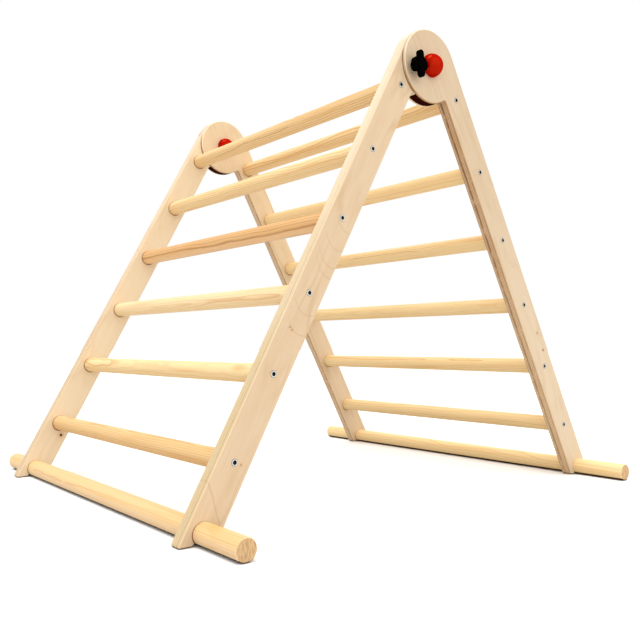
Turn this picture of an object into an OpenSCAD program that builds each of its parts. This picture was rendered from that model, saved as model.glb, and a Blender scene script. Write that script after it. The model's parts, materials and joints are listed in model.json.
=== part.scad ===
// Folding climbing triangle for small children, in millimetres, +Z up.
// Two identical ladder panels meet in two hinges; a knob on each hinge locks it.
// The hinge axis runs along Y above the origin, and the floor is Z = 0.
// Panel B leans towards +X. Panel A is panel B turned half round about Z.

/* [Panels] */
// Distance between the outer faces of one panel's two stiles.
panel_w = 700; // [600:1:800]
// Lean of each panel from the vertical when the triangle stands open, in degrees.
half_spread = 28.6; // [26:0.1:30]
// Thickness of the stiles' plywood.
stile_t = 22; // [18:0.5:24]
// Width of a stile.
stile_w = 54; // [48:1:55]
// Radius of the round hinge head at the top of a stile.
head_r = 64; // [62:1:65]
// Radius of the hollow corner between a hinge head and the stile's inner edge.
head_fillet = 5; // [3:0.5:6]
// Radius of the toe, the sharper corner of a stile's foot.
toe_r = 3.5; // [2:0.5:8]
// Radius of the heel, the blunter corner of a stile's foot.
heel_r = 6; // [3:0.5:10]

/* [Rungs and floor bars] */
// Diameter of a rung.
rung_d = 30; // [26:0.5:32]
// Distance from one rung's axis to the next.
rung_pitch = 137.5; // [125:0.5:145]
// Clearance between a hinge head's rim and the top rung.
rung_clear = 2.84; // [2:0.02:12]
// Distance from the lowest rung's axis to the floor bar's axis.
bar_drop = 102; // [90:1:140]
// Diameter of a floor bar.
bar_d = 32; // [28:1:36]
// How far a floor bar stands out beyond each stile.
bar_over = 105; // [40:1:120]
// Depth of a rung's socket in a stile.
socket_depth = 12; // [9:0.5:13]
// Size of the bevel round the end of a rung or floor bar.
end_bevel = 1; // [1:0.25:3]

/* [Rung screws] */
// Diameter of a rung screw's head.
screw_head_d = 10.5; // [9:0.5:12]
// Diameter of a rung screw's shank.
screw_shank_d = 5; // [4:0.5:6]
// Length of a rung screw.
screw_len = 50; // [40:1:60]
// Width across the corners of the screw's six-sided socket.
screw_socket_d = 6; // [5:0.1:6.4]

/* [Hinges] */
// Diameter of a hinge axle.
axle_d = 8; // [6:0.5:10]
// Radius of the red ball on each end of an axle.
dome_r = 20; // [18:0.5:22]
// How far the ball's centre stands out from its flat seat.
dome_rise = 2.5; // [0:0.5:4]
// Distance from the hinge axis to the lock bolt.
lock_r = 44.5; // [43:0.5:46]
// Direction of the lock bolt on the outer head, from the stile's front face line, in degrees.
lock_angle = 165.8; // [155:0.1:168]
// Diameter of a lock bolt.
lock_d = 8; // [6:0.5:8]
// Diameter of a lock bolt's round head.
lock_head_d = 16; // [14:0.5:18]
// Thickness of a lock bolt's head.
lock_head_t = 4.5; // [3:0.5:5]
// Thickness of the inner head's lip that a lock bolt clamps.
slot_lip = 6; // [4:0.5:8]
// Thickness of the dark lining let into the rim of an inner head.
lining_t = 1; // [1:0.1:2]
// Where the lining starts, round the inner head from the stile's front face line, in degrees.
lining_a0 = 150; // [140:1:200]
// Where the lining ends, just short of the hollow corner under the head, in degrees.
lining_a1 = 272; // [265:0.5:273]
// Outside diameter of the washer under a knob.
washer_d = 18; // [16:0.5:19]
// Thickness of the washer under a knob.
washer_t = 1.6; // [1:0.1:2]

/* [Lock knobs] */
// Distance from a knob's centre to the tip of its long wings.
wing_r = 23; // [20:0.5:23]
// Width of the long wings.
wing_w = 12; // [9:0.5:14]
// How much further out the long wings stand than the short ones.
wing_lift = 3; // [2:0.5:6]
// Turn of the knobs from upright when the hinges are tight, in degrees.
wing_tilt = 5; // [-10:1:10]
// Distance from a knob's centre to the tip of its short wings.
lobe_r = 17; // [15:0.5:18]
// Width of the short wings.
lobe_w = 24; // [19:0.5:26]
// Thickness of the wings.
wing_t = 8; // [6:0.5:10]
// Height of the knob's neck under the wings.
neck_h = 8.5; // [6:0.5:10]
// Diameter of the knob's neck.
neck_d = 18; // [17:0.5:20]

/* [Clearances] */
// Radial gap of a rung, floor bar or screw in its hole.
glue_gap = 0.1; // [0.05:0.01:0.15]
// Radial gap of an axle in the head that turns on it.
run_gap = 0.05; // [0.02:0.01:0.09]
// Gap between a knob and the washer under it.
seat_gap = 0.05; // [0.03:0.01:0.2]
// Gap between flat faces that slide on each other.
face_gap = 0.3; // [0.2:0.05:0.5]
// Gap between an inner head's rim and the hollow end of the other panel's stile.
recess_gap = 1; // [0.5:0.1:1.5]
// Gap between a lock bolt and the sides of its curved slot in the inner head.
slot_gap = 0.4; // [0.3:0.05:0.8]
// Gap in front of a lock bolt's head in its slot, and the same again behind it.
head_gap = 0.2; // [0.1:0.05:0.5]

/* [Hidden] */
$fn = 64;
rung_count = 6;
web_t = stile_t / 4;
inner_n = head_r - stile_w;
mid_n = head_r - stile_w / 2;
rung_r = rung_d / 2;
bar_r = bar_d / 2;
// Distance down the stile from the hinge axis to the top rung's axis, and to the floor bar's.
first_rung = sqrt(pow(head_r + rung_clear + rung_r, 2) - mid_n * mid_n);
bar_s = first_rung + (rung_count - 1) * rung_pitch + bar_drop;
hinge_h = bar_s * cos(half_spread) - mid_n * sin(half_spread) + bar_r;
// Outer face of the panel whose head is the outer one at the -Y hinge.
y_out = (panel_w + web_t) / 2;
// Outer face of the same panel's other stile, whose head is the inner one.
y_in = y_out - web_t;
// Inner faces of the two stiles, and of the other panel's inner head at the same hinge.
y_out_in = -y_out + stile_t;
y_in_in = y_in - stile_t;
web_face = -y_out + stile_t + web_t;
rung_y0 = y_out_in - socket_depth + glue_gap;
rung_y1 = y_in_in + socket_depth - glue_gap;
recess_r = head_r + recess_gap;
rebate_r = head_r - lining_t;
slot_depth = slot_lip + lock_head_t + 2 * head_gap;
slot_a0 = 180 - lock_angle - 2 * half_spread;
slot_a1 = 180 - lock_angle;
washer_hole_r = lock_d / 2 + 0.3;
knob_y = -y_out - washer_t - seat_gap;
axle_in_dome = 11;
insert_d = lock_d + 4;
insert_len = 12;
// Height of the sloping rim at the top of a knob's hub.
hub_drop = 2;
insert_start = 1;
// Flat under the floor bar's hole, from which the bar shows at the foot.
notch_up = bar_r * 0.6;
notch_toe = bar_r + 3;
notch_heel = bar_r * 0.84;
notch_mouth = bar_r * 0.78;
// How far one shape runs into its neighbour so that both join as one solid.
merge = 0.5;
// How much smaller a rounded end is than the bar it ends, so that their sides never coincide.
ease = 0.05;

// Colours of the finishes.
c_ply = [0.90, 0.78, 0.60];
c_pine = [0.90, 0.74, 0.50];
c_red = [0.80, 0.08, 0.05];
c_black = [0.03, 0.03, 0.03];
c_dark = [0.16, 0.08, 0.06];
c_steel = [0.75, 0.75, 0.76];
c_brass = [0.80, 0.65, 0.32];

// A rod along Y from y0 to y1.
module rod_y(r, y0, y1) {
  translate([0, y1, 0]) rotate([90, 0, 0]) cylinder(r = r, h = y1 - y0);
}

// A rod along Y with both ends bevelled.
module bevelled_rod_y(r, y0, y1, b) {
  translate([0, y1, 0]) rotate([90, 0, 0]) rotate_extrude()
    polygon([[0, 0], [r - b, 0], [r, b], [r, y1 - y0 - b], [r - b, y1 - y0], [0, y1 - y0]]);
}

// A flat shape drawn across and up the stile, made solid from y0 to y1.
module plate_y(y0, y1) {
  translate([0, y1, 0]) rotate([90, 0, 0]) linear_extrude(height = y1 - y0) children();
}

// Places a panel B piece, or the matching panel A piece, in the standing triangle.
module on_b() {
  translate([0, 0, hinge_h]) rotate([0, -half_spread, 0]) children();
}

module on_a() {
  rotate([0, 0, 180]) on_b() children();
}

// Height along the stile at which the floor cuts it, at distance n from the hinge line.
function floor_z(n) = -(hinge_h + n * sin(half_spread)) / cos(half_spread);

// Outline of a stile: round head, straight limb, foot cut level with the floor.
module stile_outline() {
  toe = [head_r, floor_z(head_r)];
  heel = [inner_n, floor_z(inner_n)];
  toe_cut = toe_r / tan((90 - half_spread) / 2);
  heel_cut = heel_r / tan((90 + half_spread) / 2);
  along = [cos(half_spread), -sin(half_spread)];
  fillet_n = inner_n - head_fillet;
  fillet_z = -sqrt(pow(head_r + head_fillet, 2) - fillet_n * fillet_n);
  to_fillet = [fillet_n, fillet_z] / (head_r + head_fillet);
  difference() {
    union() {
      circle(r = head_r);
      difference() {
        polygon([
          [inner_n, 0],
          to_fillet * (head_r - 2 * head_fillet),
          to_fillet * (head_r - merge),
          [inner_n, fillet_z + merge],
          heel + [0, heel_cut],
          heel + [heel_r, heel_cut],
          heel + along * heel_cut,
          toe - along * toe_cut,
          toe + [-toe_r, toe_cut],
          toe + [0, toe_cut],
          [head_r, 0]
        ]);
        translate([fillet_n, fillet_z]) circle(r = head_fillet - ease);
      }
      translate(heel + [heel_r, heel_cut]) circle(r = heel_r);
      translate(toe + [-toe_r, toe_cut]) circle(r = toe_r);
    }
    translate([mid_n, -bar_s]) circle(r = bar_r + glue_gap);
    translate([mid_n, -bar_s]) rotate(-half_spread) polygon([
      [notch_toe, -bar_r - merge],
      [notch_toe, -bar_r],
      [notch_mouth, -notch_up],
      [-notch_mouth, -notch_up],
      [-notch_heel, -bar_r],
      [-notch_heel, -bar_r - merge]
    ]);
  }
}

// Sockets and screw holes of a stile; side is -1 where the outer face looks to -Y.
module rung_holes(face, side) {
  for (i = [0 : rung_count - 1]) {
    translate([mid_n, 0, -first_rung - i * rung_pitch]) {
      screw_hole(face, side);
      if (side < 0) rod_y(rung_r + glue_gap, face + stile_t - socket_depth, face + stile_t + 1);
      if (side > 0) rod_y(rung_r + glue_gap, face - stile_t - 1, face - stile_t + socket_depth);
    }
  }
}

// Clearance hole with a cone for the screw's head.
module screw_hole(face, side) {
  cone = (screw_head_d - screw_shank_d) / 2;
  g = glue_gap;
  translate([0, face, 0]) rotate([side < 0 ? -90 : 90, 0, 0]) rotate_extrude()
    polygon([
      [0, -1],
      [screw_head_d / 2 + g, -1],
      [screw_head_d / 2 + g, 0.5],
      [screw_shank_d / 2 + g, 0.5 + cone],
      [screw_shank_d / 2 + g, stile_t],
      [0, stile_t]
    ]);
}

// The stile whose hinge head is the outer one, on the -Y side of panel B.
module outer_head_stile() {
  difference() {
    plate_y(-y_out, y_out_in) stile_outline();
    rod_y(recess_r, -y_out + web_t - face_gap, y_out_in + 1);
    rod_y(axle_d / 2 + run_gap, -y_out - 1, y_out_in);
    at_lock() rod_y(lock_d / 2 + glue_gap, -y_out - 1, y_out_in);
    rung_holes(-y_out, -1);
  }
}

// The stile whose hinge head is the inner one, on the +Y side of panel B. The other panel's
// lock bolt runs in its curved slot, with the bolt's head behind the lip. The bolt's head
// goes in through the wide end of the slot while the panels are folded together.
module inner_head_stile() {
  wide = lock_head_d / 2 + slot_gap;
  difference() {
    plate_y(y_in_in, y_in) stile_outline();
    rod_y(axle_d / 2 + run_gap, y_in_in - 1, y_in + 1);
    curved_slot(lock_d / 2 + slot_gap, y_in - slot_lip - 1, y_in + 1);
    curved_slot(wide, y_in - slot_depth, y_in - slot_lip);
    rotate([0, -slot_a1, 0]) translate([lock_r, 0, 0])
      rod_y(wide - ease, y_in - slot_lip - 1, y_in + 1);
    ring_part(lining_a0, lining_a1, rebate_r, head_r + 1, y_in_in + web_t, y_in + 1);
    rung_holes(y_in, 1);
  }
}

// Part of a ring about the hinge axis, from angle a0 to a1, radius r0 to r1, y0 to y1.
module ring_part(a0, a1, r0, r1, y0, y1) {
  translate([0, y1, 0]) rotate([90, 0, 0]) rotate([0, 0, a0]) rotate_extrude(angle = a1 - a0)
    translate([r0, 0]) square([r1 - r0, y1 - y0]);
}

// Curved slot about the hinge axis, of half width w, from y0 to y1.
module curved_slot(w, y0, y1) {
  ring_part(slot_a0, slot_a1, lock_r - w, lock_r + w, y0, y1);
  for (a = [slot_a0, slot_a1]) {
    rotate([0, -a, 0]) translate([lock_r, 0, 0]) rod_y(w - ease, y0, y1);
  }
}

// Dark lining let into an inner head's rim, where the other stile's hollow end sweeps past.
module rim_lining() {
  play = glue_gap / head_r * 180 / PI;
  ring_part(lining_a0 + play, lining_a1 - play, rebate_r + glue_gap, head_r,
    y_in_in + web_t + glue_gap, y_in);
}

// One rung of a panel, numbered from the top.
module rung(k) {
  translate([mid_n, 0, -first_rung - (k - 1) * rung_pitch]) difference() {
    bevelled_rod_y(rung_r, rung_y0, rung_y1, end_bevel / 2);
    rod_y(screw_shank_d / 2 + glue_gap, rung_y0 - 1, -y_out + screw_len + 2);
    rod_y(screw_shank_d / 2 + glue_gap, y_in - screw_len - 2, rung_y1 + 1);
  }
}

module floor_bar() {
  translate([mid_n, 0, -bar_s])
    bevelled_rod_y(bar_r, -y_out - bar_over, y_in + bar_over, end_bevel);
}

// The six screws of one stile, heads just proud of its outer face.
module rung_screws(face, side) {
  for (i = [0 : rung_count - 1]) {
    translate([mid_n, face, -first_rung - i * rung_pitch])
      rotate([side < 0 ? -90 : 90, 0, 0]) rung_screw();
  }
}

module rung_screw() {
  cone = (screw_head_d - screw_shank_d) / 2;
  difference() {
    rotate_extrude() polygon([
      [0, -0.6],
      [screw_head_d / 2 - 0.6, -0.6],
      [screw_head_d / 2, 0],
      [screw_head_d / 2, 0.5],
      [screw_shank_d / 2, 0.5 + cone],
      [screw_shank_d / 2, screw_len - 4],
      [0, screw_len]
    ]);
    translate([0, 0, -1]) cylinder(r = screw_socket_d / 2, h = 3.2, $fn = 6);
  }
}

// Axle of a hinge, with both ends inside the domes.
module axle() {
  rod_y(axle_d / 2, -y_out - axle_in_dome, web_face + face_gap + axle_in_dome);
}

// Ball with its flat seat on Y = 0, standing towards -Y.
module dome() {
  difference() {
    rotate([90, 0, 0]) rotate_extrude() intersection() {
      translate([0, dome_rise]) circle(r = dome_r, $fn = 96);
      square([dome_r + 1, dome_rise + dome_r + 1]);
    }
    rod_y(axle_d / 2 + run_gap, -axle_in_dome - 1, 1);
  }
}

module outer_dome() {
  translate([0, -y_out, 0]) dome();
}

module inner_dome() {
  translate([0, web_face + face_gap, 0]) rotate([0, 0, 180]) dome();
}

// Moves a piece to the lock bolt's place on the outer head.
module at_lock() {
  rotate([0, -lock_angle, 0]) translate([lock_r, 0, 0]) children();
}

// Lock bolt, its head behind the lip of the inner head's slot.
module lock_bolt() {
  head_y = -y_out + web_t + slot_lip + head_gap;
  at_lock() {
    rod_y(lock_d / 2, knob_y - insert_start - insert_len + 1, head_y + 1);
    rod_y(lock_head_d / 2, head_y, head_y + lock_head_t);
  }
}

// Washer under the knob.
module lock_washer() {
  at_lock() difference() {
    rod_y(washer_d / 2, -y_out - washer_t, -y_out);
    rod_y(washer_hole_r, knob_y - 1, -y_out + 1);
  }
}

// Threaded sleeve inside the knob.
module knob_insert() {
  at_lock() difference() {
    rod_y(insert_d / 2, knob_y - insert_start - insert_len, knob_y - insert_start);
    rod_y(lock_d / 2 + run_gap, knob_y - insert_start - insert_len - 1, knob_y);
  }
}

// Bar with round ends, reaching len from its centre, of width w, centred on the origin.
module round_ended(len, w) {
  square([2 * (len - w / 2), w], center = true);
  translate([len - w / 2, 0]) circle(r = w / 2 - ease);
  translate([w / 2 - len, 0]) circle(r = w / 2 - ease);
}

// Knob seen from outside the hinge: two short wings, and two long ones standing further out.
module lock_knob() {
  low = knob_y - neck_h;
  top = low - wing_lift - wing_t;
  at_lock() rotate([0, lock_angle + half_spread - wing_tilt, 0]) difference() {
    union() {
      rod_y(neck_d / 2, top + hub_drop, knob_y);
      plate_y(low - wing_t, low) round_ended(lobe_r, lobe_w);
      plate_y(top, low - wing_lift) rotate(90) round_ended(wing_r, wing_w);
      translate([0, top + hub_drop, 0]) rotate([90, 0, 0])
        cylinder(r1 = neck_d / 2 - ease, r2 = wing_w / 2 + ease, h = hub_drop);
    }
    rod_y(insert_d / 2 + run_gap, knob_y - insert_start - insert_len - 0.5, knob_y + 1);
  }
}

// Named nodes.
module stile_a_near() { color(c_ply) on_a() inner_head_stile(); }
module stile_a_far() { color(c_ply) on_a() outer_head_stile(); }
module stile_b_near() { color(c_ply) on_b() outer_head_stile(); }
module stile_b_far() { color(c_ply) on_b() inner_head_stile(); }
module rung_a1() { color(c_pine) on_a() rung(1); }
module rung_a2() { color(c_pine) on_a() rung(2); }
module rung_a3() { color(c_pine) on_a() rung(3); }
module rung_a4() { color(c_pine) on_a() rung(4); }
module rung_a5() { color(c_pine) on_a() rung(5); }
module rung_a6() { color(c_pine) on_a() rung(6); }
module rung_b1() { color(c_pine) on_b() rung(1); }
module rung_b2() { color(c_pine) on_b() rung(2); }
module rung_b3() { color(c_pine) on_b() rung(3); }
module rung_b4() { color(c_pine) on_b() rung(4); }
module rung_b5() { color(c_pine) on_b() rung(5); }
module rung_b6() { color(c_pine) on_b() rung(6); }
module floor_bar_a() { color(c_pine) on_a() floor_bar(); }
module floor_bar_b() { color(c_pine) on_b() floor_bar(); }
module rung_screws_a_near() { color(c_steel) on_a() rung_screws(y_in, 1); }
module rung_screws_a_far() { color(c_steel) on_a() rung_screws(-y_out, -1); }
module rung_screws_b_near() { color(c_steel) on_b() rung_screws(-y_out, -1); }
module rung_screws_b_far() { color(c_steel) on_b() rung_screws(y_in, 1); }
module rim_lining_near() { color(c_dark) on_a() rim_lining(); }
module rim_lining_far() { color(c_dark) on_b() rim_lining(); }
module axle_near() { color(c_steel) on_b() axle(); }
module axle_far() { color(c_steel) on_a() axle(); }
module outer_dome_near() { color(c_red) on_b() outer_dome(); }
module outer_dome_far() { color(c_red) on_a() outer_dome(); }
module inner_dome_near() { color(c_red) on_b() inner_dome(); }
module inner_dome_far() { color(c_red) on_a() inner_dome(); }
module lock_bolt_near() { color(c_steel) on_b() lock_bolt(); }
module lock_bolt_far() { color(c_steel) on_a() lock_bolt(); }
module lock_washer_near() { color(c_steel) on_b() lock_washer(); }
module lock_washer_far() { color(c_steel) on_a() lock_washer(); }
module knob_insert_near() { color(c_brass) on_b() knob_insert(); }
module knob_insert_far() { color(c_brass) on_a() knob_insert(); }
module lock_knob_near() { color(c_black) on_b() lock_knob(); }
module lock_knob_far() { color(c_black) on_a() lock_knob(); }

stile_a_near();
stile_a_far();
stile_b_near();
stile_b_far();
rung_a1();
rung_a2();
rung_a3();
rung_a4();
rung_a5();
rung_a6();
rung_b1();
rung_b2();
rung_b3();
rung_b4();
rung_b5();
rung_b6();
floor_bar_a();
floor_bar_b();
rung_screws_a_near();
rung_screws_a_far();
rung_screws_b_near();
rung_screws_b_far();
rim_lining_near();
rim_lining_far();
axle_near();
axle_far();
outer_dome_near();
outer_dome_far();
inner_dome_near();
inner_dome_far();
lock_bolt_near();
lock_bolt_far();
lock_washer_near();
lock_washer_far();
knob_insert_near();
knob_insert_far();
lock_knob_near();
lock_knob_far();
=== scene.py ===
"""Looks of the folding climbing triangle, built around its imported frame.

Metres, +Z up. The hinge axis runs along Y. Panel B leans towards +X, panel A towards -X.
Inside the materials, lengths are in millimetres.
"""
import json
import math

import bmesh
import bpy
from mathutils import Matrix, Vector


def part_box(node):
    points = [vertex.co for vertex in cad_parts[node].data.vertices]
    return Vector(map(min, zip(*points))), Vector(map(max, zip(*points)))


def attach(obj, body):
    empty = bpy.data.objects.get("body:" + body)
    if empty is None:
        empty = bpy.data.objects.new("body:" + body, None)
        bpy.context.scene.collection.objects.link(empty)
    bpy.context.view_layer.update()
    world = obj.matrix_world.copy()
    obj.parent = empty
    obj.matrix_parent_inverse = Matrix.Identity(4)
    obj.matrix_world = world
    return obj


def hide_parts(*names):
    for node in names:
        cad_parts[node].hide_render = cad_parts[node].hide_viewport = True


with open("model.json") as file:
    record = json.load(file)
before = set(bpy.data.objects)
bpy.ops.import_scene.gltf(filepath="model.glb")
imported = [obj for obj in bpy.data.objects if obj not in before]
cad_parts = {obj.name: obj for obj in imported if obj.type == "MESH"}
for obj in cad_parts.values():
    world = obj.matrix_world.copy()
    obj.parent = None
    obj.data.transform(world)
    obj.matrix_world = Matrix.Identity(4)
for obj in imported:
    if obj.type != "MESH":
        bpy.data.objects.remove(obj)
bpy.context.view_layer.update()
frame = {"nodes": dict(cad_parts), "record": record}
MM = 0.001

# ---------------------------------------------------------------- the frame's own places

JOINTS = {joint["name"]: joint for joint in frame["record"]["behaviour"]["joints"]}
FOLD = JOINTS["fold"]
HINGE_Z = FOLD["pos_m"][2]
HINGE = Vector((0, 0, HINGE_Z))
# Folded flat the panels are parallel, so each stands at half of the fold's range.
LEAN = math.radians(FOLD["range_deg"][1]) / 2
ENDS = ("near", "far")
RUNG_COUNT = 6


class Panel:
    """One ladder panel: its dowels, and its ways out through its front and down its stiles."""

    def __init__(self, letter):
        side = 1 if letter == "b" else -1
        self.letter = letter
        self.body = "panel_" + letter
        self.rungs = [f"rung_{letter}{number}" for number in range(1, RUNG_COUNT + 1)]
        self.bar = "floor_bar_" + letter
        self.out = Vector((side * math.cos(LEAN), 0, math.sin(LEAN)))
        self.down = Vector((side * math.sin(LEAN), 0, -math.cos(LEAN)))


PANELS = [Panel("a"), Panel("b")]


def centre(node):
    """Middle of a node's box."""
    low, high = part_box(node)
    return (Vector(low) + Vector(high)) / 2


def whole_mm(length):
    """The size of a round solid from that of its mesh, which is a hair smaller."""
    return round(length / MM) * MM


def dowel_radius(node):
    """Radius of a dowel, from its box."""
    low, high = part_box(node)
    return whole_mm((high[2] - low[2]) / 2)


def outer_face(node, end):
    """Where along Y a node's outer face lies, and the sign of the way from it into the node."""
    low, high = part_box(node)
    return (low[1], 1) if end == "near" else (high[1], -1)


RUNG_R = dowel_radius("rung_a1")
BAR_R = dowel_radius("floor_bar_a")
HEAD_R = whole_mm(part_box("stile_b_near")[1][2] - HINGE_Z)
# Thickness of the outer one of a hinge's two heads, where it covers the inner one.
WEB_T = 5.2 * MM


# ---------------------------------------------------------------- shader maths

class Wire:
    """An output socket that takes part in Python arithmetic as numbers."""

    def __init__(self, nodes, socket):
        self.nodes = nodes
        self.socket = socket

    def _math(self, operation, *values):
        return self.nodes.node("Math", {"operation": operation}, dict(enumerate(values)))

    def __add__(self, other):
        return self._math("ADD", self, other)

    def __radd__(self, other):
        return self._math("ADD", other, self)

    def __sub__(self, other):
        return self._math("SUBTRACT", self, other)

    def __rsub__(self, other):
        return self._math("SUBTRACT", other, self)

    def __mul__(self, other):
        return self._math("MULTIPLY", self, other)

    def __rmul__(self, other):
        return self._math("MULTIPLY", other, self)

    def __truediv__(self, other):
        return self._math("DIVIDE", self, other)

    def floor(self):
        return self._math("FLOOR", self)

    def fract(self):
        return self._math("FRACT", self)

    def abs(self):
        return self._math("ABSOLUTE", self)

    def root(self):
        return self._math("SQRT", self)

    def over(self, low, high):
        """0 below low, 1 above high, smooth between them."""
        inputs = {"Value": self, "From Min": low, "From Max": high}
        return self.nodes.node("MapRange", {"interpolation_type": "SMOOTHSTEP"}, inputs)

    def peak(self, place, width):
        """1 at place, falling to 0 at width to either side."""
        return 1 - (self - place).abs().over(0, width)


class Nodes:
    """The nodes of a material or of the world."""

    def __init__(self, owner):
        owner.use_nodes = True
        self.tree = owner.node_tree
        self.tree.nodes.clear()

    def node(self, kind, settings=None, inputs=None, output=0):
        """Adds a node: its settings first, then the values or links of its sockets."""
        made = self.tree.nodes.new("ShaderNode" + kind)
        for key, value in (settings or {}).items():
            setattr(made, key, value)
        for key, value in (inputs or {}).items():
            if isinstance(value, Wire):
                self.tree.links.new(value.socket, made.inputs[key])
            else:
                made.inputs[key].default_value = value
        return Wire(self, made.outputs[output]) if made.outputs else None


class Finish(Nodes):
    """A material that varies over the object."""

    def __init__(self, name):
        self.material = bpy.data.materials.new(name)
        super().__init__(self.material)
        self.place = self.node("TexCoord", output="Object")

    def along(self, direction, start=0.0):
        """Distance in millimetres from start along a direction of the object."""
        settings = {"operation": "DOT_PRODUCT"}
        run = self.node("VectorMath", settings, {0: self.place, 1: tuple(direction)}, "Value")
        return (run - start) / MM

    def vector(self, x, y, z):
        """Three numbers as one place in a noise."""
        return self.node("CombineXYZ", None, {"X": x, "Y": y, "Z": z})

    def noise(self, vector, scale=1.0, detail=2.0, roughness=0.5):
        """Smooth random lumps, from 0 to 1."""
        inputs = {"Vector": vector, "Scale": scale, "Detail": detail, "Roughness": roughness}
        return self.node("TexNoise", {"noise_dimensions": "3D"}, inputs)

    def chance(self, value):
        """A random number from 0 to 1 for each whole number."""
        return self.node("TexWhiteNoise", {"noise_dimensions": "1D"}, {"W": value})

    def blend(self, factor, first, second):
        """From the first colour to the second one."""
        # The colours of a Mix node are its sockets 6 and 7, and its output 2.
        settings = {"data_type": "RGBA", "clamp_factor": True}
        return self.node("Mix", settings, {0: factor, 6: first, 7: second}, 2)

    def crack_and_shade(self):
        """The dark brown, without any shine, of knots and joints, and of the shade painted where
        pieces meet or rest on the floor.
        """
        return self.node("BsdfDiffuse", None, {"Color": CRACK_AND_SHADE})

    def facing_y(self):
        """How squarely the surface looks along Y, from 0 to 1."""
        normal = self.node("TexCoord", output="Normal")
        return self.node("SeparateXYZ", None, {0: normal}, "Y").abs()

    def surface(self, colour, roughness, height, depth, reach, over=None, **uniform):
        """Joins the finish to a Principled shader; uniform values go on its own sockets.

        Height is the relief, of a strength (depth) and a height in metres (reach). Over holds
        another shader, and how much of it shows in the first one's place.
        """
        bump = self.node("Bump", None, {"Height": height, "Strength": depth, "Distance": reach})
        inputs = {"Base Color": colour, "Roughness": roughness, "Normal": bump}
        inputs.update({key.replace("_", " "): value for key, value in uniform.items()})
        shader = self.node("BsdfPrincipled", None, inputs)
        if over is not None:
            shader = self.node("MixShader", None, {0: over[1], 1: shader, 2: over[0]})
        self.node("OutputMaterial", None, {"Surface": shader})
        return self.material


def reach_from(finish, panel, middle, drop=0.0):
    """Distance in the plane of a panel's stiles from an axis along Y, moved down them by drop."""
    off_across = finish.along(panel.out, panel.out.dot(middle))
    off_down = finish.along(panel.down, panel.down.dot(middle) + drop * MM)
    return (off_across * off_across + off_down * off_down).root()


def from_rungs(finish, panel, drop=0.0):
    """Distance from the nearest rung's axis, and 1 along the stretch that has rungs."""
    first, last = centre(panel.rungs[0]), centre(panel.rungs[-1])
    start = panel.down.dot(first)
    pitch = (panel.down.dot(last) - start) / (RUNG_COUNT - 1) / MM
    count = finish.along(panel.down, start + drop * MM) / pitch + 0.5
    off_down = (count.fract() - 0.5) * pitch
    off_across = finish.along(panel.out, panel.out.dot(first))
    reach = (off_across * off_across + off_down * off_down).root()
    return reach, count.over(0.0, 0.1) * (1 - count.over(RUNG_COUNT - 0.1, RUNG_COUNT))


# ---------------------------------------------------------------- colours

def srgb(red, green, blue):
    """A colour written as it looks on a screen, 0 to 255, as linear light."""
    def linear(level):
        level /= 255
        return level / 12.92 if level <= 0.04045 else ((level + 0.055) / 1.055) ** 2.4
    return (linear(red), linear(green), linear(blue), 1.0)


PALE = srgb(252, 238, 214)
CREAM = srgb(251, 231, 194)
WARM = srgb(255, 222, 165)
HONEY = srgb(244, 208, 160)
BEIGE = srgb(222, 207, 183)
SAND = srgb(219, 188, 150)
TAN = srgb(215, 172, 118)
OCHRE = srgb(205, 158, 95)
DUSTY = srgb(193, 173, 147)
GREYISH = srgb(190, 172, 150)
BROWN = srgb(176, 122, 70)
OLIVE = srgb(173, 156, 104)
CRACK_AND_SHADE = srgb(66, 32, 4)
SEAM_SHADE_BROWN = srgb(158, 100, 34)

VENEER_LIGHT = srgb(241, 219, 187)
VENEER_DARK = srgb(234, 209, 172)
VENEER_CLOUD = srgb(228, 202, 163)
VENEER_FIGURE = srgb(214, 180, 138)
VENEER_FLECK = srgb(212, 180, 140)
VENEER_FLAME = srgb(188, 148, 104)
VENEER_VEIN = srgb(192, 152, 108)
END_GRAIN_LIGHT = srgb(228, 200, 160)
END_GRAIN_DARK = srgb(200, 164, 120)
BROWN_PLY = srgb(160, 118, 78)
DARK_PLY = srgb(84, 44, 20)
GLUE = srgb(140, 102, 66)
ROUNDED_EDGE_SHADE = srgb(200, 166, 122)
KNOT_HALO = srgb(202, 150, 104)

PINE_EARLY = srgb(242, 212, 158)
PINE_LATE = srgb(208, 154, 90)
PINE_STREAK = srgb(224, 168, 98)
PINE_FIBRE = srgb(206, 154, 92)
PINE_VEIN = srgb(150, 96, 46)
PINE_STAIN = srgb(206, 156, 74)
AMBER_EARLY = srgb(212, 144, 74)
AMBER_LATE = srgb(146, 78, 28)
SAP_AND_BOUNCE = srgb(255, 226, 188)
PINE_END_LIGHT = srgb(207, 172, 128)
PINE_END_DARK = srgb(178, 138, 94)

ZINC_LIGHT = srgb(206, 208, 202)
ZINC_DARK = srgb(168, 172, 168)
BRIM_SHADE = srgb(84, 84, 76)
SOCKET_SHADE = srgb(14, 13, 12)
BRASS_LIGHT = srgb(222, 186, 108)
BRASS_DARK = srgb(190, 150, 76)
LINING_BROWN = srgb(58, 16, 8)
LINING_RIB = srgb(30, 4, 3)
LINING_DUST = srgb(70, 28, 16)
RED_LIGHT = srgb(174, 3, 1)
RED_DARK = srgb(166, 2, 1)
RED_SHINE = srgb(255, 120, 60)
BLACK = srgb(2, 2, 2)
BLACK_SPARK = srgb(4, 4, 4)


# ---------------------------------------------------------------- plywood

PLY_COUNT = 15
# The dark line round a dowel or a hinge head, a joint line widened into painted shade: how far its
# middle lies outside their edge, and how much lower than they it lies, so that the painted shade
# shows more under a dowel than over it.
SEAM_OFF = 0.1
SEAM_SHADE_DROP = 0.9
SEAM_WIDTH = 1.5
SEAM_SHADE_DARKNESS = 0.7
# The painted shade in the corner of an outer head's hollow fades in and out at these distances
# from the head's rim.
WALL_START = (-3, -2)
WALL_END = (1, 2)
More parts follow.
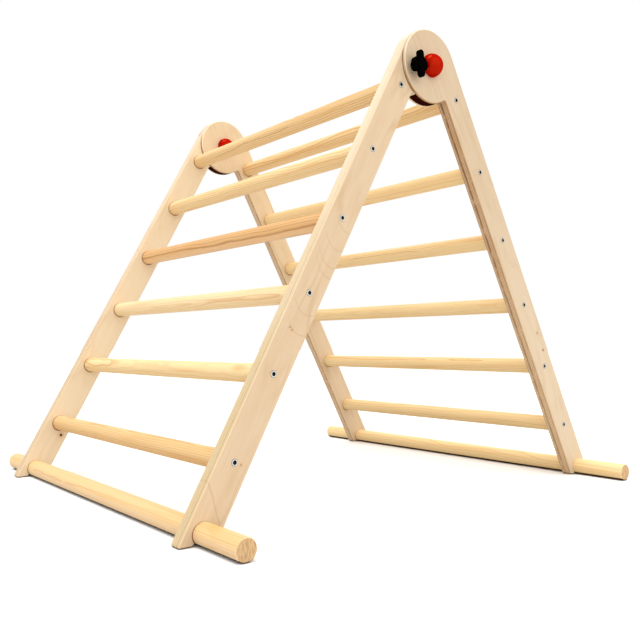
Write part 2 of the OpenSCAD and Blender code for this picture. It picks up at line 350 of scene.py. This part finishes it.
# Height of the painted contact shadow where plywood or a dowel rests on the floor: full below,
# none above.
FLOOR_SHADOW_LINE = (1.0, 3.0)
BAR_SHADOW_LINE = (4.0, 6.0)
FLOOR_SHADOW_DARKNESS = 0.95
WOOD_SHEEN = 0.22
# How far the veneer's flames and vein drift from one side of their course to the other.
DRIFT_REACH = 12
# Pin knots of a stile: out and down from the hinge axis, radius, darkness.
KNOTS = {
    "stile_a_near": [(44.0, 548.8, 1.3, 0.8), (38.7, 550.9, 1.3, 0.8), (25.7, 759.3, 1.6, 0.4)],
    "stile_b_near": [(47.4, 553.4, 1.8, 0.7), (48.5, 592.6, 2.3, 0.9)],
    "stile_a_far": [(22.9, 782.2, 3.2, 1.0)],
}
# Tips of a stile's flame-shaped grain lines: out and down from the hinge axis.
FLAMES = {
    "stile_a_near": [(24.0, 363.0), (30.0, 399.0), (28.0, 429.5), (24.0, 446.0), (33.0, 519.0),
                     (28.0, 551.0)],
}
# How fast a flame's sides rise, its width, and where its outward side fades.
FLAME_BOW = 0.021
FLAME_WIDTH = 2.2
FLAME_FADE = (12, 36)
# The board that a thin vein crosses slantwise, and how far out plus down from the hinge axis.
VEINED_STILE = "stile_a_near"
VEIN_PLACE = 869.3
VEIN_WIDTH = 3.2
# Below the hinge axis: where a wash turns from its head's to its foot's, and where the painted
# light on the edges round the head end stops.
WASH_RUN = (80, 750)
LIT_CROWN_END = (-45, 15)


class ToneAndLightWash:
    """A colour laid along a stile: how much of it, and which, at its head and foot. It is partly
    the board's own tone, and partly painted light and shade where light falls differently on each
    board and on its head and foot.
    """

    def __init__(self, at_head, at_foot, head, foot):
        self.at_head = at_head
        self.at_foot = at_foot
        self.head = head
        self.foot = foot


class Board:
    """What sets one stile's plywood apart from the others', in tone and in painted light and
    shade.

    Face and rim are the washes on its faces and edges, partly painted light and shade. Edge is how
    brown its edges' cross plies are; it is highest on the b stiles, whose seen edges are their
    inner ones in shade, so it partly paints that shade. Dark_plies are the numbers of its dark
    plies, from the outer face, and how dark. Bar_seam is how dark the painted shade round its
    floor bar is, and head_seam the painted shade in an outer head's hollow.
    """

    def __init__(self, face, rim, edge, dark_plies, bar_seam, head_seam=0.0):
        self.face = face
        self.rim = rim
        self.edge = edge
        self.dark_plies = dark_plies
        self.bar_seam = bar_seam
        self.head_seam = head_seam


BOARDS = {
    "stile_a_near": Board(
        face=ToneAndLightWash(0.1, 0.1, SAND, SAND), rim=ToneAndLightWash(0.35, 0.35, PALE, OLIVE), edge=0.0,
        dark_plies=[(3, 0.5), (7, 0.2)], bar_seam=1.0),
    "stile_a_far": Board(
        face=ToneAndLightWash(0.38, 0.38, CREAM, CREAM), rim=ToneAndLightWash(0.25, 0.25, PALE, GREYISH), edge=0.1,
        dark_plies=[(3, 0.3), (8, 0.3)], bar_seam=0.8, head_seam=0.15),
    "stile_b_near": Board(
        face=ToneAndLightWash(0.3, 0.3, DUSTY, BEIGE), rim=ToneAndLightWash(0.2, 0.3, BROWN, HONEY), edge=0.75,
        dark_plies=[(2, 0.5), (5, 0.35), (8, 0.7), (9, 1.0), (10, 0.6), (13, 0.9)],
        bar_seam=0.3, head_seam=0.65),
    "stile_b_far": Board(
        face=ToneAndLightWash(0.2, 0.0, WARM, WARM), rim=None, edge=0.6,
        dark_plies=[(5, 0.3), (9, 0.4), (12, 0.6), (13, 0.35)], bar_seam=0.8),
}


class Plywood(Finish):
    """One stile's birch: pale veneer faces, and edges that show long and cross plies in turn."""

    def __init__(self, stile, panel, end, seed):
        super().__init__("birch_" + stile)
        low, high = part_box(stile)
        outer_y, inward = outer_face(stile, end)
        self.stile = stile
        self.board = BOARDS[stile]
        self.panel = panel
        self.seed = seed
        self.head_outside = (panel.letter == "b") == (end == "near")
        self.thickness = (high[1] - low[1]) / MM
        self.across = self.along(panel.out)
        self.length = self.along(panel.down)
        self.depth = self.along((0, inward, 0), outer_y * inward)
        self.beside = self.along(panel.out, panel.out.dot(HINGE))
        self.below = self.along(panel.down, panel.down.dot(HINGE))

        # The plies are laid out a hair thicker than they are, from a hair outside the outer face,
        # so that both faces of the stile lie inside a ply.
        place = self.depth / (self.thickness / PLY_COUNT) * 0.999 + 0.005
        self.layer = place.floor()
        # 1 in every second ply, whose grain runs across the stile.
        self.cross = (self.layer * 0.5).fract() * 2
        self.glue = 1 - place.fract().peak(0.5, 0.5).over(0.0, 0.22)
        # A noise takes its lumps to the millimetre across the board, down it and into it: few
        # along the grain, many across it. The seed moves it to another piece of the same wood.
        self.drift = self.noise(self.vector(self.across * 0.02, self.length * 0.0035, seed))
        down_grain = self.vector(self.across * 0.6, self.length * 0.015, self.depth * 0.9 + seed)
        self.long_fibre = self.noise(down_grain, 1.0, 3.0, 0.6)
        cross_grain = self.vector(self.across * 0.03, self.length * 1.3, self.depth * 1.3 + seed)
        self.cross_fibre = self.noise(cross_grain, 1.0, 3.0, 0.65)

    def veneer(self):
        """Colour of the plies whose grain runs down the stile, as its faces show it."""
        across, length, seed = self.across, self.length, self.seed
        contour = (self.drift * 7 + across * 0.012).fract()
        strength = self.noise(self.vector(across * 0.02, length * 0.008, seed + 4.0))
        figure = contour.peak(0.5, 0.3) * strength.over(0.35, 0.7)
        cloud = self.noise(self.vector(across * 0.05, length * 0.006, seed + 9.0))
        flecks = self.noise(self.vector(across * 1.6, length * 0.14, self.depth + seed))

        colour = self.blend(self.long_fibre.over(0.3, 0.75), VENEER_LIGHT, VENEER_DARK)
        colour = self.blend(cloud.over(0.35, 0.7) * 0.5, colour, VENEER_CLOUD)
        colour = self.blend(figure * 0.55, colour, VENEER_FIGURE)
        colour = self.blend(flecks.over(0.66, 0.78) * 0.25, colour, VENEER_FLECK)
        for tip_beside, tip_below in FLAMES.get(self.stile, ()):
            off = self.beside - tip_beside
            bow = off * off * FLAME_BOW
            course = self.below - tip_below + bow + (self.drift - 0.5) * DRIFT_REACH
            flame = course.peak(0, FLAME_WIDTH) * (1 - off.over(*FLAME_FADE))
            colour = self.blend(flame * 0.3, colour, VENEER_FLAME)
        if self.stile == VEINED_STILE:
            slant = self.panel.out + self.panel.down
            course = self.along(slant, slant.dot(HINGE)) + self.drift * DRIFT_REACH
            colour = self.blend(course.peak(VEIN_PLACE, VEIN_WIDTH) * 0.4, colour, VENEER_VEIN)
        return colour

    def plies(self):
        """Colour of the layers: long and cross plies in turn, the glue between them, dark ones."""
        end_grain = self.blend(self.cross_fibre.over(0.3, 0.75), END_GRAIN_LIGHT, END_GRAIN_DARK)
        end_grain = self.blend(self.board.edge, end_grain, BROWN)
        wood = self.blend(self.cross, self.veneer(), end_grain)
        brown = self.chance(self.layer + self.seed).over(0.75, 1.0) * self.cross
        wood = self.blend(brown * 0.4, wood, BROWN_PLY)
        wood = self.blend(self.glue * 0.35, wood, GLUE)
        dashes = self.noise(self.vector(self.length * 0.05, self.depth * 0.2, self.seed))
        dashes = dashes.over(0.3, 0.55)
        for number, darkness in self.board.dark_plies:
            wood = self.blend(self.layer.peak(number, 0.5) * dashes * darkness, wood, DARK_PLY)
        return wood

    def washed_with_painted_light(self, wood):
        """The same wood with the board's washes, painted light on the edges round its head, and
        painted shade over its rounded edges.
        """
        turned = self.facing_y()
        sides = 1 - turned.over(0.3, 0.9)
        run = self.below.over(*WASH_RUN)
        for where, wash in ((1 - sides, self.board.face), (sides, self.board.rim)):
            if wash is not None:
                share = where * (wash.at_head + run * (wash.at_foot - wash.at_head))
                wood = self.blend(share, wood, self.blend(run, wash.head, wash.foot))
        edges = 1 - turned.over(0.9, 0.99)
        # Painted light: the edges round the head end are lightened towards pale.
        lit_crown = 1 - self.below.over(*LIT_CROWN_END)
        wood = self.blend(lit_crown * edges * 0.4, wood, PALE)
        # Painted shade: the rounded edges are darkened to dim the highlight that the light gives
        # them.
        rounding = turned.over(0.15, 0.4) * edges * (1 - lit_crown)
        return self.blend(rounding * 0.35, wood, ROUNDED_EDGE_SHADE)

    def seams(self):
        """1 in the dark lines where a rung, the floor bar or the other head meets the stile: joint
        lines widened into painted shade, those round the dowels moved lower so that more shows
        under them.
        """
        reach, beside_rungs = from_rungs(self, self.panel, SEAM_SHADE_DROP)
        inner_face = self.depth.over(self.thickness - 0.1, self.thickness - 0.05)
        rungs = reach.peak(RUNG_R / MM + SEAM_OFF, SEAM_WIDTH) * beside_rungs * inner_face
        reach = reach_from(self, self.panel, centre(self.panel.bar), SEAM_SHADE_DROP)
        bar = reach.peak(BAR_R / MM + SEAM_OFF, SEAM_WIDTH) * self.board.bar_seam
        reach = reach_from(self, self.panel, HINGE) - HEAD_R / MM
        if self.head_outside:
            hollow_corner_shade = reach.over(*WALL_START) * (1 - reach.over(*WALL_END))
            head = hollow_corner_shade * self.depth.peak(WEB_T / MM, 1.0) * self.board.head_seam
        else:
            head = reach.peak(SEAM_OFF, SEAM_WIDTH) * (1 - self.depth.over(0.0, 0.3))
        return rungs + bar + head

    def made(self):
        """The material, with its seams of painted shade, the painted contact shadow where it rests
        on the floor, and its knots.
        """
        wood = self.washed_with_painted_light(self.plies())
        seams = self.seams()
        # Seams: joint lines widened into painted shade, with a brown fringe.
        wood = self.blend(seams * 0.7, wood, SEAM_SHADE_BROWN)
        # Painted contact shadow, dark brown where the stile rests on the floor.
        floor = 1 - self.along((0, 0, 1)).over(*FLOOR_SHADOW_LINE)
        shade_and_knots = 1 - (1 - seams * SEAM_SHADE_DARKNESS) * (1 - floor * FLOOR_SHADOW_DARKNESS)
        for out, down, radius, darkness in KNOTS.get(self.stile, ()):
            middle = HINGE + (self.panel.out * out + self.panel.down * down) * MM
            reach = reach_from(self, self.panel, middle)
            wood = self.blend((1 - reach.over(radius, radius * 3)) * 0.4, wood, KNOT_HALO)
            knot = (1 - reach.over(radius * 0.6, radius)) * darkness
            shade_and_knots = 1 - (1 - shade_and_knots) * (1 - knot)
        cross_grooves = self.cross * self.cross_fibre * 0.4
        grooves = self.long_fibre * 0.5 - self.glue * 0.4 - cross_grooves - seams
        return self.surface(wood, 0.56 + self.long_fibre * 0.12, grooves, 0.2, 0.15 * MM,
                            (self.crack_and_shade(), shade_and_knots), Specular_IOR_Level=WOOD_SHEEN)


# ---------------------------------------------------------------- pine

RING_PITCH = 3.8
# How far a dowel's axis lay from the middle of its tree, at the least and at the most.
TREE_MIDDLE = (16, 30)
# The steepest way the grain leaves a dowel's axis, sideways; it does so less up and down.
GRAIN_SLOPE = 0.014
SLOPE_UPWARD = 0.7
# How far the rings wander along a dowel, sideways and up, and how far they ripple.
RING_WANDER = (14, 10)
RING_RIPPLE = 4
# How far a dowel's wood goes towards deep amber, where it isn't pale.
AMBER = {"rung_a1": 0.2, "rung_a3": 0.55, "rung_a6": 0.25, "rung_b1": 0.1}
# A dowel's underside made paler, partly pale sapwood and partly painted light from the floor's
# bounce: how pale, and its upper limit over the axis.
SAPWOOD_AND_BOUNCE = {"rung_a3": (0.3, -4), "floor_bar_a": (0.6, 6)}
SAPWOOD_AND_BOUNCE_FADE = 8
# The dowels with a wash of colour: how much of it, and the colour.
DOWEL_WASH = {
    "rung_a4": (0.15, PALE),
    "rung_a6": (0.2, OCHRE),
    "floor_bar_a": (0.4, TAN),
    "rung_b2": (0.4, WARM),
    "rung_b6": (0.2, TAN),
    "floor_bar_b": (0.4, WARM),
}
# Thin brown veins along a dowel: height over its axis, and its two ends along Y.
VEINS = {"rung_a1": (-6.0, -70, 260), "rung_b3": (0.5, -160, 90)}
VEIN_FADE = 40
# A yellower patch of the bar beside its near stile: place and reach along Y.
STAINED_BAR = "floor_bar_a"
STAIN_PLACE = -380
STAIN_REACH = 32


def growth_rings(finish, x, y, z, ripple, seed):
    """How far the wood is late wood, and a strength of its own for each growth ring.

    The seed sets on which side of its tree a dowel's wood grew, how far out, and how much its
    grain slopes.
    """
    turn = seed * 2.4
    nearest, farthest = TREE_MIDDLE
    reach = nearest + (farthest - nearest) * ((seed * 0.618) % 1)
    slope = GRAIN_SLOPE * math.sin(seed * 5.1)
    wave = finish.noise(finish.vector(y * 0.005, seed * 7.7, 0.0)) - 0.5
    off_x = x - reach * math.cos(turn) - y * slope + wave * RING_WANDER[0]
    off_z = z - reach * math.sin(turn) + y * slope * SLOPE_UPWARD - wave * RING_WANDER[1]
    rings = ((off_x * off_x + off_z * off_z).root() + ripple * RING_RIPPLE) / RING_PITCH
    ring = rings.fract()
    late = ring.over(0.45, 0.93) * (1 - ring.over(0.95, 1.0))
    return late, finish.chance(rings.floor() + seed)


def pine_dowel(node, seed):
    """Pine turned from a straight board: growth rings cut lengthwise give long wavy streaks."""
    finish = Finish("pine_" + node)
    middle = centre(node)
    x = finish.along((1, 0, 0), middle.x)
    y = finish.along((0, 1, 0))
    z = finish.along((0, 0, 1), middle.z)
    ripple = finish.noise(finish.vector(x * 0.03, y * 0.008, z * 0.03 + seed)) - 0.5
    late, strength = growth_rings(finish, x, y, z, ripple, seed)
    fibre = finish.noise(finish.vector(x * 1.1, y * 0.02, z * 1.1 + seed), 1.0, 3.0, 0.6)
    streak = finish.noise(finish.vector(x * 0.12, y * 0.004, z * 0.12 + seed * 3))
    rays = finish.noise(finish.vector(x * 0.4, seed, z * 0.09), 1.0, 3.0, 0.6).over(0.4, 0.66)

    wood = finish.blend(late * (0.12 + strength * 0.6), PINE_EARLY, PINE_LATE)
    wood = finish.blend(streak.over(0.5, 0.75) * 0.45, wood, PINE_STREAK)
    wood = finish.blend(fibre.over(0.5, 0.85) * 0.3, wood, PINE_FIBRE)
    if node in AMBER:
        wood = finish.blend(AMBER[node], wood, finish.blend(late, AMBER_EARLY, AMBER_LATE))
    # Paler underside: partly sapwood, partly painted light from the floor's bounce.
    if node in SAPWOOD_AND_BOUNCE:
        share, top = SAPWOOD_AND_BOUNCE[node]
        wood = finish.blend((1 - z.over(top - SAPWOOD_AND_BOUNCE_FADE, top)) * share, wood, SAP_AND_BOUNCE)
    if node in DOWEL_WASH:
        share, colour = DOWEL_WASH[node]
        wood = finish.blend(share, wood, colour)
    if node in VEINS:
        height, start, end = VEINS[node]
        vein = (z - height + ripple * 14).peak(0, 1.0)
        vein = vein * y.over(start, start + VEIN_FADE) * (1 - y.over(end - VEIN_FADE, end))
        wood = finish.blend(vein * 0.6, wood, PINE_VEIN)
    if node == STAINED_BAR:
        stain = y.peak(STAIN_PLACE, STAIN_REACH) * ripple.over(-0.12, 0.05)
        wood = finish.blend(stain * 0.5, wood, PINE_STAIN)
    sawn_end = finish.facing_y().over(0.9, 0.98)
    wood = finish.blend(sawn_end, wood, finish.blend(rays, PINE_END_LIGHT, PINE_END_DARK))
    # Painted contact shadow along a dowel's underside and at the foot of its sawn ends, where it
    # rests on the floor.
    height = finish.along((0, 0, 1))
    shadow_under_side = (1 - height.over(*BAR_SHADOW_LINE)) * (1 - sawn_end)
    shadow_under_end = (1 - height.over(*FLOOR_SHADOW_LINE)) * sawn_end
    painted_floor_shadow = (shadow_under_side + shadow_under_end) * FLOOR_SHADOW_DARKNESS
    return finish.surface(wood, 0.55 + fibre * 0.12, fibre * 0.5 - late * 0.3, 0.15, 0.12 * MM,
                          (finish.crack_and_shade(), painted_floor_shadow), Specular_IOR_Level=WOOD_SHEEN)


# ---------------------------------------------------------------- moulding, lining and metal

# Depth under a screw head's face at which its socket starts and at which its painted shade is
# full, the radius of the socket's mouth, and the radius from which painted shade darkens the
# head's brim.
SOCKET_START = 0.3
SOCKET_DARK = 0.9
SOCKET_MOUTH = 3.0
HEAD_BRIM = 4.4
RIB_PITCH = 1.3


def dark_lining(name):
    """Dark brown lining with fine ribs that run round the rim."""
    finish = Finish(name)
    ribs = (finish.along((0, 1, 0)) / RIB_PITCH).fract().peak(0.5, 0.5)
    grain = finish.noise(finish.place, 900.0, 3.0)
    colour = finish.blend(ribs.over(0.1, 0.6) * 0.8, LINING_BROWN, LINING_RIB)
    colour = finish.blend(grain.over(0.5, 0.8) * 0.3, colour, LINING_DUST)
    return finish.surface(colour, 0.5 + grain * 0.15, grain + ribs * 0.5, 0.2, 0.1 * MM,
                          Specular_IOR_Level=0.0)


def red_gloss(name):
    """Glossy red moulded plastic."""
    finish = Finish(name)
    ripple = finish.noise(finish.place, 60.0)
    colour = finish.blend(ripple.over(0.3, 0.7), RED_LIGHT, RED_DARK)
    shine = finish.node("BsdfAnisotropic", None, {"Color": RED_SHINE, "Roughness": 0.2})
    return finish.surface(colour, 0.4 + ripple * 0.06, ripple, 0.05, 0.2 * MM, (shine, 0.05),
                          Specular_IOR_Level=0.0)


def black_moulding(name):
    """Matt black moulded plastic with a fine spark texture."""
    finish = Finish(name)
    spark = finish.noise(finish.place, 2600.0)
    colour = finish.blend(spark.over(0.4, 0.7), BLACK, BLACK_SPARK)
    return finish.surface(colour, 0.5 + spark * 0.2, spark, 0.15, 0.05 * MM,
                          Specular_IOR_Level=0.02, IOR=1.2)


def zinc_plate(name):
    """Zinc-plated steel with a slightly mottled shine."""
    finish = Finish(name)
    mottle = finish.noise(finish.place, 700.0, 3.0)
    colour = finish.blend(mottle.over(0.3, 0.7), ZINC_LIGHT, ZINC_DARK)
    return finish.surface(colour, 0.26 + mottle * 0.2, mottle, 0.1, 0.05 * MM, Metallic=1.0)


def screw_zinc(node, panel, end):
    """Zinc-plated screw heads, with painted shade inside their six-sided sockets and round their
    brims.
    """
    finish = Finish("zinc_" + node)
    outer_y, inward = outer_face(node, end)
    mottle = finish.noise(finish.place, 700.0, 3.0)
    sunk = finish.along((0, inward, 0), outer_y * inward).over(SOCKET_START, SOCKET_DARK)
    reach, _ = from_rungs(finish, panel)
    mouth = 1 - reach.over(SOCKET_MOUTH, SOCKET_MOUTH + 0.5)
    brim = reach.over(HEAD_BRIM, HEAD_BRIM + 0.6)
    # Painted shade: the socket is dark below its face and inside its mouth.
    dark = 1 - (1 - sunk) * (1 - mouth)
    colour = finish.blend(mottle.over(0.3, 0.7), ZINC_LIGHT, ZINC_DARK)
    colour = finish.blend(brim * 0.75, colour, BRIM_SHADE)
    colour = finish.blend(dark, colour, SOCKET_SHADE)
    return finish.surface(colour, 0.3 + mottle * 0.2 + dark * 0.4, mottle, 0.1, 0.05 * MM,
                          Metallic=1 - dark)


def turned_brass(name):
    """Brass sleeve with fine turning marks."""
    finish = Finish(name)
    marks = finish.along((0, 1, 0)).fract().peak(0.5, 0.5)
    colour = finish.blend(marks, BRASS_LIGHT, BRASS_DARK)
    return finish.surface(colour, 0.3 + marks * 0.1, marks, 0.1, 0.05 * MM, Metallic=1.0)


def dress(node, material):
    """Gives a CAD node its finish."""
    materials = frame["nodes"][node].data.materials
    materials.clear()
    materials.append(material)


# ---------------------------------------------------------------- rounded pieces

# Corners nearer than this are one, and faces that turn by less than this are one.
WELD = 0.02 * MM
ONE_FACE = math.radians(0.3)
# A fold sharper than this stays a crease in the shading.
CREASE = math.radians(35)
# Within this of a plane a point lies in it, and a face whose normal has more than FLAT of Y lies
# across Y, and one with less than UPRIGHT runs along Y.
IN_PLANE = 0.05 * MM
FLAT = 0.99
UPRIGHT = 0.05


def rounded_copy(node, piece_name, body, material, radius, segments, chosen):
    """Copies a CAD solid with the chosen sharp edges rounded over; the copy stands for it."""
    mesh = bmesh.new()
    mesh.from_mesh(frame["nodes"][node].data)
    bmesh.ops.remove_doubles(mesh, verts=mesh.verts, dist=WELD)
    bmesh.ops.dissolve_limit(mesh, angle_limit=ONE_FACE, verts=mesh.verts, edges=mesh.edges)
    mesh.normal_update()
    edges = [edge for edge in mesh.edges if len(edge.link_faces) == 2 and chosen(edge)]
    bmesh.ops.bevel(mesh, geom=edges, offset=radius, offset_type="OFFSET", segments=segments,
                    profile=0.5, affect="EDGES", clamp_overlap=False)
    for edge in mesh.edges:
        edge.smooth = len(edge.link_faces) == 2 and edge.calc_face_angle(0) < CREASE
    for face in mesh.faces:
        face.smooth = True
    data = bpy.data.meshes.new(piece_name)
    mesh.to_mesh(data)
    mesh.free()
    piece = bpy.data.objects.new(piece_name, data)
    bpy.context.scene.collection.objects.link(piece)
    data.materials.append(material)
    shade = piece.modifiers.new("even_shading", "WEIGHTED_NORMAL")
    shade.keep_sharp = True
    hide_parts(node)
    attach(piece, body)
    return piece


STILE_ROUNDING = 2.5 * MM
STILE_STEPS = 5
# Radii round the hinge, the floor bar and a rung inside which a stile's edges stay sharp, and the
# radius of an outer head's hollow, whose edge stays sharp too.
HEAD_INSIDE = HEAD_R - 0.5 * MM
NOTCH_REACH = BAR_R + 8 * MM
RUNG_REACH = RUNG_R + 2 * MM
HOLLOW_R = HEAD_R + 1 * MM
HOLLOW_SLACK = 0.6 * MM


def from_axis(point, x, z):
    """Distance of a point from an axis along Y."""
    return math.hypot(point.x - x, point.z - z)


def stile_rim(panel, low_y, high_y):
    """Picks the edges of a stile that are rounded over: its outline, not holes or recesses."""
    bar = centre(panel.bar)
    rungs = [centre(rung) for rung in panel.rungs]

    def chosen(edge):
        turns = sorted(abs(face.normal.y) for face in edge.link_faces)
        if turns[0] > UPRIGHT or turns[1] < FLAT:
            return False
        middle = (edge.verts[0].co + edge.verts[1].co) / 2
        if min(abs(middle.y - low_y), abs(middle.y - high_y)) > IN_PLANE:
            return False
        reach = from_axis(middle, 0, HINGE_Z)
        if reach < HEAD_INSIDE or abs(reach - HOLLOW_R) < HOLLOW_SLACK:
            return False
        if from_axis(middle, bar.x, bar.z) < NOTCH_REACH:
            return False
        return all(from_axis(middle, rung.x, rung.z) > RUNG_REACH for rung in rungs)

    return chosen


KNOB_ROUNDING = 1.5 * MM
KNOB_STEPS = 4
KNOB_FOLD = math.radians(50)


def knob_rim(end):
    """Picks the knob's edges that run round the outer faces of its wings."""
    outermost, _ = outer_face("lock_knob_" + end, end)

    def chosen(edge):
        flat = max(abs(face.normal.y) for face in edge.link_faces) > FLAT
        steep = edge.calc_face_angle(0) > KNOB_FOLD
        on_top = all(abs(corner.co.y - outermost) < IN_PLANE for corner in edge.verts)
        return flat and steep and on_top

    return chosen


# ---------------------------------------------------------------- the triangle's pieces

# Each board and dowel has a seed, so that no two have the same grain.
STILE_SEEDS = {"stile_a_near": 3, "stile_a_far": 32, "stile_b_near": 11, "stile_b_far": 40}
RUNG_SEED_STEP = {"a": 0, "b": 6.5}
BAR_SEEDS = {"floor_bar_a": 17, "floor_bar_b": 23}


def build_stile(panel, end):
    node = f"stile_{panel.letter}_{end}"
    low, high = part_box(node)
    material = Plywood(node, panel, end, STILE_SEEDS[node]).made()
    rounded_copy(node, node + "_board", panel.body, material,
                 STILE_ROUNDING, STILE_STEPS, stile_rim(panel, low[1], high[1]))


def build_dowels(panel):
    for number, rung in enumerate(panel.rungs, 1):
        dress(rung, pine_dowel(rung, number + RUNG_SEED_STEP[panel.letter]))
    dress(panel.bar, pine_dowel(panel.bar, BAR_SEEDS[panel.bar]))


def build_screws(panel, end):
    node = f"rung_screws_{panel.letter}_{end}"
    dress(node, screw_zinc(node, panel, end))


def build_hinges():
    lining = dark_lining("dark_lining")
    red = red_gloss("red_gloss")
    black = black_moulding("black_moulding")
    zinc = zinc_plate("zinc_plate")
    brass = turned_brass("turned_brass")
    for end in ENDS:
        dress("rim_lining_" + end, lining)
        dress("outer_dome_" + end, red)
        dress("inner_dome_" + end, red)
        for part in ("axle_", "lock_bolt_", "lock_washer_"):
            dress(part + end, zinc)
        dress("knob_insert_" + end, brass)
        rounded_copy("lock_knob_" + end, f"lock_knob_{end}_moulding", "knob_" + end,
                     black, KNOB_ROUNDING, KNOB_STEPS, knob_rim(end))


def build_triangle():
    for panel in PANELS:
        for end in ENDS:
            build_stile(panel, end)
    for panel in PANELS:
        build_dowels(panel)
    build_hinges()
    for panel in PANELS:
        for end in ENDS:
            build_screws(panel, end)


# ---------------------------------------------------------------- room, light and camera

FLOOR_SIZE = 60
FLOOR_TINT = (1, 0.995, 0.985)
FLOOR_BOUNCE = 0.60
FLOOR_SEEN = 1.0
ROOM_LIGHT = 0.95
ROOM_SEEN = 1.0
# Strength of each lamp, its width in degrees, and the way from the triangle to it.
KEY_LIGHT = 1.4
KEY_SPREAD = 30
KEY_FROM = (-0.25, 0.1, 1.0)
FILL_LIGHT = 1.7
FILL_SPREAD = 90
FILL_FROM = (0.0, -1.0, 0.25)
CAMERA_PLACE = Vector((-0.9507, -1.2182, 0.2676))
CAMERA_AZIMUTH = math.radians(-39.04)
CAMERA_ELEVATION = math.radians(-1.98)
CAMERA_LENS = 41.43
CAMERA_SENSOR = 36


def seen_white(nodes, dim, bright):
    """Shows the bright shader to the camera and in reflections, and the dim one to the rest."""
    rays = ("Is Camera Ray", "Is Glossy Ray", "Is Transmission Ray")
    camera, glossy, through = (nodes.node("LightPath", output=ray) for ray in rays)
    return nodes.node("MixShader", None, {0: camera + glossy + through, 1: dim, 2: bright})


def build_floor():
    bpy.ops.mesh.primitive_plane_add(size=FLOOR_SIZE)
    floor = bpy.context.object
    floor.name = "studio_floor"
    material = bpy.data.materials.new("studio_floor")
    nodes = Nodes(material)
    shades = []
    for level in (FLOOR_BOUNCE, FLOOR_SEEN):
        colour = [level * share for share in FLOOR_TINT] + [1]
        shades.append(nodes.node("BsdfDiffuse", None, {"Color": colour}))
    nodes.node("OutputMaterial", None, {"Surface": seen_white(nodes, *shades)})
    floor.data.materials.append(material)


def build_world():
    world = bpy.data.worlds.new("studio")
    bpy.context.scene.world = world
    nodes = Nodes(world)
    shades = []
    for level in (ROOM_LIGHT, ROOM_SEEN):
        shades.append(nodes.node("Background", None, {"Color": (1, 1, 1, 1), "Strength": level}))
    nodes.node("OutputWorld", None, {"Surface": seen_white(nodes, *shades)})


def far_lamp(name, where_from, strength, spread):
    """A soft lamp so far away that it lights the whole floor evenly."""
    lamp = bpy.data.lights.new(name, "SUN")
    lamp.energy = strength
    lamp.angle = math.radians(spread)
    holder = bpy.data.objects.new(name, lamp)
    bpy.context.scene.collection.objects.link(holder)
    holder.rotation_euler = (-Vector(where_from)).to_track_quat("-Z", "Y").to_euler()


def build_lights():
    far_lamp("key_lamp", KEY_FROM, KEY_LIGHT, KEY_SPREAD)
    far_lamp("fill_lamp", FILL_FROM, FILL_LIGHT, FILL_SPREAD)


def build_camera():
    camera = bpy.data.cameras.new("photo_camera")
    camera.lens = CAMERA_LENS
    camera.sensor_width = CAMERA_SENSOR
    holder = bpy.data.objects.new("photo_camera", camera)
    bpy.context.scene.collection.objects.link(holder)
    level = math.cos(CAMERA_ELEVATION)
    gaze = Vector((-math.sin(CAMERA_AZIMUTH) * level, math.cos(CAMERA_AZIMUTH) * level,
                   -math.sin(CAMERA_ELEVATION)))
    holder.location = CAMERA_PLACE
    holder.rotation_euler = gaze.to_track_quat("-Z", "Y").to_euler()
    bpy.context.scene.camera = holder


build_camera()
build_floor()
build_world()
build_lights()
build_triangle()

bpy.context.scene.view_settings.view_transform = "Standard"


bpy.context.view_layer.update()
